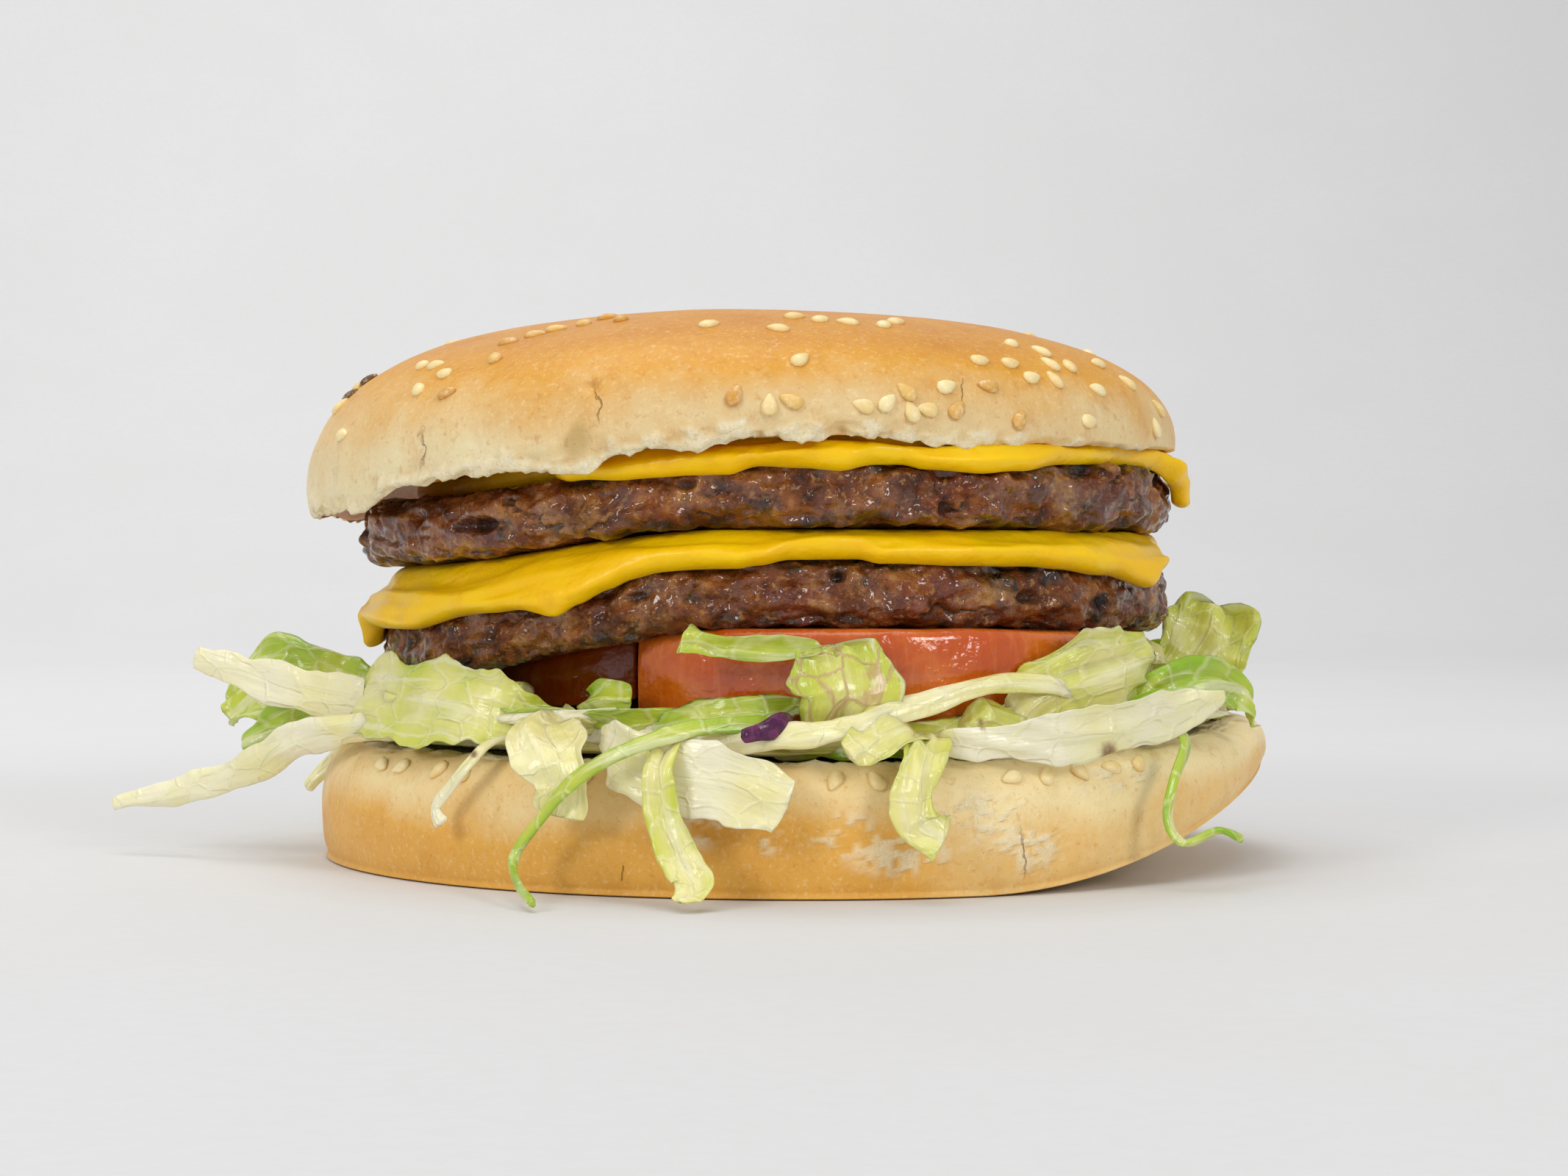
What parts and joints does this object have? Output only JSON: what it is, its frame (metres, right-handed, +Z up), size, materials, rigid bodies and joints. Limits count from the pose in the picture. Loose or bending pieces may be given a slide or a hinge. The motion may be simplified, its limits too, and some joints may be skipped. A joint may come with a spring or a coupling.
{
  "type": "double cheeseburger",
  "caption": "Double cheeseburger in a sesame bun with melted cheese, seared beef patties, tomato slices and shredded iceberg lettuce, standing on its heel.",
  "frame": {"origin": "middle of the bun heel's round outline, on its flat bottom", "axes": "+Z up through the stack, +X to the viewer's right along the widest spread of lettuce, -Y towards the viewer"},
  "size_m": [0.162, 0.1521, 0.0757],
  "materials": {
    "bun": "baked crust, matte",
    "beef": "seared and greasy",
    "cheese": "melted, satin",
    "tomato": "wet and glossy",
    "lettuce": "moist leaf"
  },
  "bodies": {
    "root": {"bun_heel": "bun", "lettuce_heap": "lettuce", "tomato_front": "tomato", "tomato_back": "tomato", "patty_lower": "beef", "cheese_lower": "cheese", "patty_upper": "beef", "cheese_upper": "cheese", "bun_crown": "bun"}
  },
  "joints": []
}
